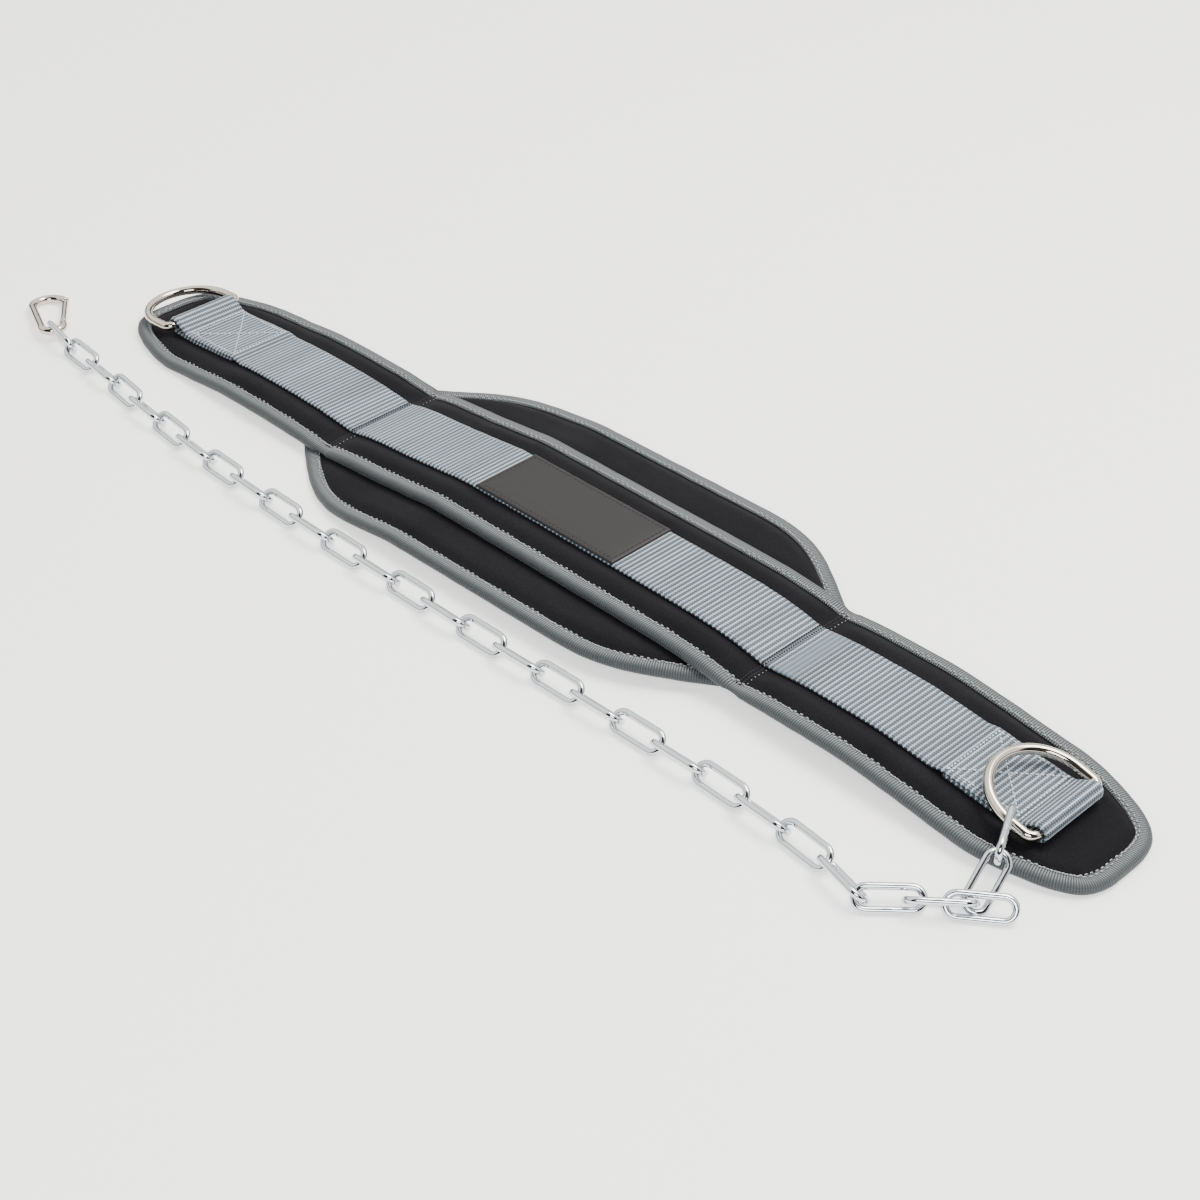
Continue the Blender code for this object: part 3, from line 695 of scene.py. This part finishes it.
# %% The webbing
def webbing_mesh():
    """The strip swept along its line, ribbed on its outer face and corded along its edges."""
    columns, verts, places, faces = 25, [], [], []
    last = len(webbing_line) - 1
    for i, here in enumerate(webbing_line):
        along = (webbing_line[min(i + 1, last)] - webbing_line[max(i - 1, 0)]).normalized()
        out = Vector((-along.y, along.x))
        rib = 0.5 - 0.5 * math.cos(2 * math.pi * i / RIB_STATIONS)
        for side in (1, -1):
            for j in range(columns + 1):
                share = (2 * j / columns - 1) * side
                edge = 1 - rise(abs(share), 0.93, 1.0)
                relief = (0.22 * MM * rib - 0.05 * MM) * edge if side == 1 else 0.0
                cord = 0.12 * MM * (1 if 0.9 < abs(share) < 0.97 else 0)
                half = WEBBING_THICKNESS / 2 * (0.45 + 0.55 * edge) - 0.1 * MM
                x, z = here + out * ((half + relief + cord) * side)
                ragged = 0.3 * MM * noise.noise(Vector((i / 9.0, side * share, 2.0)))
                verts.append((x, middle_y(x) + share * (WEBBING_WIDTH / 2 + ragged * abs(share)), z))
                places.append((i * station, share * WEBBING_WIDTH / 2))
    count = 2 * (columns + 1)
    for i in range(last):
        for j in range(count):
            a, b = i * count + j, i * count + (j + 1) % count
            faces.append((a, b, b + count, a + count))
    faces.append(tuple(range(count)))
    faces.append(tuple(range(last * count, (last + 1) * count)))
    mesh = closed_mesh("webbing", verts, faces)
    layer = mesh.uv_layers.new(name="along")
    for loop in mesh.loops:
        layer.data[loop.index].uv = places[loop.vertex_index]
    return mesh


finish_piece("webbing", webbing_mesh(), webbing_material, "webbing", "belt", "webbing_strap")

# %% [markdown]
# ## Label
# The patch is a bare rectangle of soft plastic leather, sewn down just inside its edge. The thread
# pulls a shallow groove into it and the edge stands slightly rounded, so a fine grid is used.


# %% Label patch
STITCH_INSET = 3 * MM


def label_bottom(x):
    return webbing_height(x) + WEBBING_THICKNESS / 2 + GAP


def label_top(x, y):
    """The patch's top face, with the groove its stitches pull."""
    distance = min(LABEL_LENGTH / 2 - abs(x), LABEL_WIDTH / 2 - abs(y))
    round_edge = 0.45 + 0.55 * math.sqrt(rise(distance, 0, 1.8 * MM))
    groove = 0.35 * MM * math.exp(-((distance - STITCH_INSET) / (0.8 * MM)) ** 2)
    puff = 0.25 * MM * rise(distance, 4 * MM, 12 * MM)
    return label_bottom(x) + LABEL_THICKNESS * round_edge - groove + puff


rows, columns = round(LABEL_LENGTH / MM), round(LABEL_WIDTH / MM)
spots = [((i / rows - 0.5) * LABEL_LENGTH, (j / columns - 0.5) * LABEL_WIDTH)
         for i in range(rows + 1) for j in range(columns + 1)]
upper = [(x, y, label_top(x, y)) for x, y in spots]
lower = [(x, y, label_bottom(x)) for x, y in spots]
label_mesh = closed_grid("label", upper, lower, rows, columns)
finish_piece("label", label_mesh, label_material, "label", "belt", "label_patch")

# %% [markdown]
# ## Stitches
# Thread shows as short dashes in rows. One Geometry Nodes tree lays a small rounded dash along any
# line at a set pitch, turned to the line's direction, so a new row costs only its points. The rows
# hold the patch, cross the folds in a box with diagonals, press the two seams and edge the tape.


# %% Stitch nodes
def stitch_tree():
    """Lines in, dashes of thread out, as real geometry."""
    tree = bpy.data.node_groups.new("stitches", "GeometryNodeTree")
    tree.interface.new_socket("Geometry", in_out="INPUT", socket_type="NodeSocketGeometry")
    sizes = {"Pitch": 3 * MM, "Length": 2 * MM, "Thickness": 0.6 * MM}
    for label, size in sizes.items():
        socket = tree.interface.new_socket(label, in_out="INPUT", socket_type="NodeSocketFloat")
        socket.default_value = size
    tree.interface.new_socket("Thread", in_out="INPUT", socket_type="NodeSocketMaterial")
    tree.interface.new_socket("Geometry", in_out="OUTPUT", socket_type="NodeSocketGeometry")
    given = add(tree, "NodeGroupInput").outputs
    curve = add(tree, "GeometryNodeMeshToCurve", {"Mesh": given["Geometry"]})
    points = add(tree, "GeometryNodeCurveToPoints", {"Curve": curve.outputs[0], "Length": given["Pitch"]},
                 mode="LENGTH")
    turn = add(tree, "FunctionNodeAlignRotationToVector", {"Vector": points.outputs["Tangent"]}, axis="X")
    size = add(tree, "ShaderNodeCombineXYZ", {"X": given["Length"], "Y": given["Thickness"],
                                              "Z": given["Thickness"]})
    ball = add(tree, "GeometryNodeMeshUVSphere", {"Segments": 6, "Rings": 5, "Radius": 0.5})
    dashes = add(tree, "GeometryNodeInstanceOnPoints", {"Points": points.outputs["Points"],
                 "Instance": ball.outputs["Mesh"], "Rotation": turn.outputs[0], "Scale": size.outputs[0]})
    real = add(tree, "GeometryNodeRealizeInstances", {"Geometry": dashes.outputs[0]})
    thread = add(tree, "GeometryNodeSetMaterial", {"Geometry": real.outputs[0], "Material": given["Thread"]})
    rounded = add(tree, "GeometryNodeSetShadeSmooth", {"Geometry": thread.outputs[0]})
    out = tree.nodes.new("NodeGroupOutput")
    tree.links.new(rounded.outputs[0], out.inputs[0])
    return tree


STITCHES = stitch_tree()


def stitch(name, lines, thread, slot, pitch, length, thickness):
    """Dashes of thread along lines of points, as one plain mesh."""
    verts, edges = [], []
    for line in lines:
        edges += [(len(verts) + i, len(verts) + i + 1) for i in range(len(line) - 1)]
        verts += line
    mesh = bpy.data.meshes.new(name + "_lines")
    mesh.from_pydata(verts, edges, [])
    holder = bpy.data.objects.new(name + "_lines", mesh)
    bpy.context.scene.collection.objects.link(holder)
    modifier = holder.modifiers.new("stitches", "NODES")
    modifier.node_group = STITCHES
    values = {"Pitch": pitch, "Length": length, "Thickness": thickness, "Thread": thread}
    for item in STITCHES.interface.items_tree:
        if item.in_out == "INPUT" and item.name in values:
            modifier[item.identifier] = values[item.name]
    graph = bpy.context.evaluated_depsgraph_get()
    made = bpy.data.meshes.new_from_object(holder.evaluated_get(graph), depsgraph=graph)
    bpy.data.objects.remove(holder)
    return finish_piece(name, made, thread, slot, "belt")


# %% Rows of thread
FOLD_BOX_FROM, FOLD_BOX_TO, FOLD_BOX_HALF, SECOND_ROW = 304 * MM, 349 * MM, 21.5 * MM, 2.5 * MM
SEAM_ROWS, SEAM_HALF = (-1.2 * MM, 1.2 * MM), 45 * MM
DOT_ROW, DOTS_FROM, DOTS_TO = 3.4 * MM, 26 * MM, 44 * MM


def row_between(a, b, height, step=2 * MM):
    """Points from a to b, each laid at the height of what it is sewn to."""
    a, b = Vector(a), Vector(b)
    count = max(round((b - a).length / step), 1)
    flat_points = [a.lerp(b, i / count) for i in range(count + 1)]
    return [(p.x, p.y, height(p.x, p.y)) for p in flat_points]


x, y = LABEL_LENGTH / 2 - STITCH_INSET, LABEL_WIDTH / 2 - STITCH_INSET
corners = [(-x, -y), (x, -y), (x, y), (-x, y), (-x, -y)]
lines = [row_between(a, b, label_top) for a, b in zip(corners, corners[1:])]
stitch("label_stitches", lines, black_thread, "label", 3.2 * MM, 2.5 * MM, 0.8 * MM)


def fold_top(x, y):
    return webbing_height(x) + WEBBING_THICKNESS * 1.5 + GAP + 0.25 * MM


lines = []
for side in (-1, 1):
    near, far, second = side * FOLD_BOX_FROM, side * FOLD_BOX_TO, side * (FOLD_BOX_TO + SECOND_ROW)
    low, high = middle_y(near) - FOLD_BOX_HALF, middle_y(near) + FOLD_BOX_HALF
    box = [(near, low), (far, low), (far, high), (near, high)]
    rows = list(zip(box, box[1:] + box[:1])) + [(box[0], box[2]), (box[3], box[1])]
    rows.append(((second, low), (second, high)))
    lines += [row_between(a, b, fold_top) for a, b in rows]
stitch("fold_stitches", lines, webbing_thread, "webbing", 2.6 * MM, 2.0 * MM, 0.9 * MM)


def seam_top(x, y):
    """The webbing's, the foam's or the tape's top, whichever a seam's thread lies on."""
    distance = belt_half_width(x) - abs(y - middle_y(x)) - FOAM_INSET
    if abs(y - middle_y(x)) < WEBBING_WIDTH / 2:
        return webbing_height(x) + WEBBING_THICKNESS / 2 + 0.1 * MM
    tape_share = 0.9 * (1 - rise(distance, 6 * MM, 9 * MM))
    return max(belt_foam_top(x, y, distance), belt_part_way(x, tape_share))


dark, pale = [], []
for side in (-1, 1):
    for offset in SEAM_ROWS:
        x = side * SEAM_DISTANCE + offset
        dark.append(row_between((x, -SEAM_HALF), (x, SEAM_HALF), seam_top, 1 * MM))
    x = side * SEAM_DISTANCE + DOT_ROW
    pale.append(row_between((x, -DOTS_TO), (x, -DOTS_FROM), seam_top, 1 * MM))
    pale.append(row_between((x, DOTS_FROM), (x, DOTS_TO), seam_top, 1 * MM))
stitch("seam_stitches", dark, black_thread, "binding", 1.9 * MM, 1.8 * MM, 1.1 * MM)
stitch("seam_dots", pale, pale_thread, "binding", 3 * MM, 0.9 * MM, 0.5 * MM)


def zigzag(outline, height):
    """A line to and fro across the tape's inner edge."""
    points, ways = [], inward_ways(outline)
    for i in range(0, len(outline) - 2, 3):
        place = outline[i] + ways[i] * ((7.0 if i % 2 else 9.2) * MM)
        points.append((place.x, place.y, height(place.x)))
    return [points]


stitch("belt_tape_stitches", zigzag(belt_outline, lambda x: belt_part_way(x, 0.98)),
       pale_thread, "binding", 2.9 * MM, 2.2 * MM, 0.7 * MM)
stitch("pad_tape_stitches", zigzag(pad_outline, lambda x: pad_top(x) - 0.4 * MM),
       pale_thread, "binding", 2.9 * MM, 2.2 * MM, 0.7 * MM)

# %% [markdown]
# ## Rings, chain and hook
# All of these are round wire, bent and plated. One function sweeps a circle along a path and turns
# it with the path, which gives true round wire at any bend. The links take their places from the
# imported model, so they stay interlocked, and each carries the small swelling of its weld.


# %% Round wire
def arc(middle, radius, start, end, steps):
    turns = [math.radians(start + (end - start) * i / steps) for i in range(steps + 1)]
    return [Vector((middle[0] + radius * math.cos(t), middle[1] + radius * math.sin(t), 0)) for t in turns]


def round_wire(name, points, radii, closed, sides=16):
    """A circle swept along a flat path, with a radius for each point. An open path's ends are closed."""
    verts, faces, count = [], [], len(points)
    for i, here in enumerate(points):
        before = points[i - 1] if closed or i else here
        after = points[(i + 1) % count] if closed or i < count - 1 else here
        along = (after - before).normalized()
        side = Vector((-along.y, along.x, 0))
        for j in range(sides):
            turn = 2 * math.pi * j / sides
            verts.append(here + (side * math.cos(turn) + Vector((0, 0, 1)) * math.sin(turn)) * radii[i])
    for i in range(count if closed else count - 1):
        here, after = i * sides, (i + 1) % count * sides
        for j in range(sides):
            beside = (j + 1) % sides
            faces.append((here + j, here + beside, after + beside, after + j))
    if not closed:
        faces.append(tuple(range(sides)))
        faces.append(tuple(range((count - 1) * sides, count * sides)))
    return closed_mesh(name, verts, faces)


def tidy_path(points):
    """The path without points that fall on each other."""
    kept = [points[0]]
    for point in points[1:]:
        if (point - kept[-1]).length > 0.05 * MM:
            kept.append(point)
    return kept


def rounded_ends(points, radius):
    """Adds the steps of a domed cap at both ends of an open path, with its radii."""
    points = tidy_path(points)
    path, radii = list(points), [radius] * len(points)
    for end, inner in ((0, 1), (-1, -2)):
        out = (points[end] - points[inner]).normalized()
        dome = [(points[end] + out * radius * 0.35 * math.sin(a), radius * math.cos(a))
                for a in (0.4, 0.8, 1.15, 1.4)]
        for place, size in dome:
            path.insert(0 if end == 0 else len(path), place)
            radii.insert(0 if end == 0 else len(radii), size)
    return path, radii


# %% D-rings
half = (RING_INNER_WIDTH + RING_WIRE) / 2
inner = half - RING_CORNER
ring_path = arc((-RING_CORNER, inner), RING_CORNER, 0, 90, 10)
ring_path += arc((half - RING_DEPTH, 0), half, 90, 270, 48)
ring_path = tidy_path(ring_path + arc((-RING_CORNER, -inner), RING_CORNER, 270, 360, 10))
rest = bar_height(-1) - (belt_top(-RING_DISTANCE) + GAP + RING_WIRE / 2)
for name, side, tilt, shift, body in (("left_ring", -1, -math.asin(rest / RING_DEPTH), 0.0, "left_ring"),
                                      ("right_ring", 1, HOOKED_RING_TILT, HOOKED_RING_SHIFT, "belt")):
    mesh = round_wire(name, ring_path, [RING_WIRE / 2] * len(ring_path), closed=True, sides=20)
    x = side * RING_DISTANCE
    place = Vector((x, middle_y(x) + shift, bar_height(side)))
    mesh.transform(Matrix.Translation(place) @ Euler((0, tilt, 0)).to_matrix().to_4x4())
    finish_piece("smooth_" + name, mesh, nickel, "ring", body, name)


# %% Chain
WELD_RISE, WELD_LENGTH = 0.12 * MM, 1.6 * MM


def wire_frame(node):
    """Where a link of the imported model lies, from its middle and its longest and next longest ways."""
    points = np.array([tuple(v.co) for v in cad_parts[node].data.vertices])
    middle = points.mean(axis=0)
    ways = np.linalg.eigh(np.cov((points - middle).T))[1]
    long_way, wide_way = Vector(ways[:, 2]), Vector(ways[:, 1])
    turn = Matrix((long_way, wide_way, long_way.cross(wide_way))).transposed().to_4x4()
    return Matrix.Translation(Vector(middle) - ORIGIN) @ turn


radius = (LINK_INNER_WIDTH + LINK_WIRE) / 2
reach = (LINK_INNER_LENGTH + LINK_WIRE) / 2 - radius
link_path = arc((reach, 0), radius, -90, 90, 14)
link_path += [Vector((reach * k / 6, radius, 0)) for k in range(5, -6, -1)]
link_path += arc((-reach, 0), radius, 90, 270, 14)
link_path += [Vector((reach * k / 6, -radius, 0)) for k in range(-5, 6)]
link_path = tidy_path(link_path)
welds = [math.exp(-((point.x / WELD_LENGTH) ** 2)) * (point.y > 0) for point in link_path]
link_radii = [LINK_WIRE / 2 + WELD_RISE * weld for weld in welds]
one_link = round_wire("one_link", link_path, link_radii, closed=True, sides=14)
links = bmesh.new()
names = [f"link_{i:02d}" for i in range(1, 31)]
for name in names:
    copy = one_link.copy()
    copy.transform(wire_frame(name))
    links.from_mesh(copy)
chain_mesh = bpy.data.meshes.new("chain")
links.to_mesh(chain_mesh)
links.free()
finish_piece("chain", chain_mesh, zinc, "link", "belt", *names)

# %% Snap hook and its gate
GATE_SEAT = GAP + HOOK_WIRE * 0.22  # from the middle of the hook's end to the gate's end
RIVET_RADIUS, RIVET_PROUD = 1.1 * MM, 0.5 * MM
neck, crown_half = (HOOK_NECK_WIDTH - HOOK_WIRE) / 2, (HOOK_WIDTH - HOOK_WIRE) / 2
crown = HOOK_LENGTH - HOOK_WIRE - crown_half
hook_path = arc((neck, 0), neck, 285, 90, 28) + arc((crown, 0), crown_half, 90, -70, 28)
hinge, nose = hook_path[0], hook_path[-1]
path, radii = rounded_ends(hook_path, HOOK_WIRE / 2)
hook_turn = Euler([math.radians(a) for a in (0, -HOOK_SLOPE, HOOK_HEADING)]).to_matrix().to_4x4()
lowest = min(v.co.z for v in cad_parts["snap_hook"].data.vertices)
hook_mesh = round_wire("hook_body", path, radii, closed=False)
hook_mesh.transform(hook_turn)
drop = lowest - min(v.co.z for v in hook_mesh.vertices)
hook_shift = Matrix.Translation((*HOOK_PLACE, drop))
hook_mesh.transform(hook_shift)
finish_piece("hook_body", hook_mesh, nickel, "hook", "belt", "snap_hook")

way = (nose - hinge).normalized()
pivot = hinge + way * (GATE_SEAT + GATE_WIRE / 2)
tip = nose - way * (GATE_SEAT + GATE_WIRE * 0.2)
gate_path, gate_radii = rounded_ends([pivot.lerp(tip, i / 12) for i in range(13)], GATE_WIRE / 2)
gate_mesh = round_wire("gate_bar", gate_path, gate_radii, closed=False)
rivet = bmesh.new()
rivet.from_mesh(gate_mesh)
bmesh.ops.create_cone(rivet, cap_ends=True, segments=16, radius1=RIVET_RADIUS, radius2=RIVET_RADIUS,
                      depth=GATE_WIRE + RIVET_PROUD, matrix=Matrix.Translation(pivot))
rivet.to_mesh(gate_mesh)
rivet.free()
gate_mesh.transform(hook_shift @ hook_turn)
finish_piece("gate_bar", gate_mesh, nickel, "hook", "gate", "hook_gate")
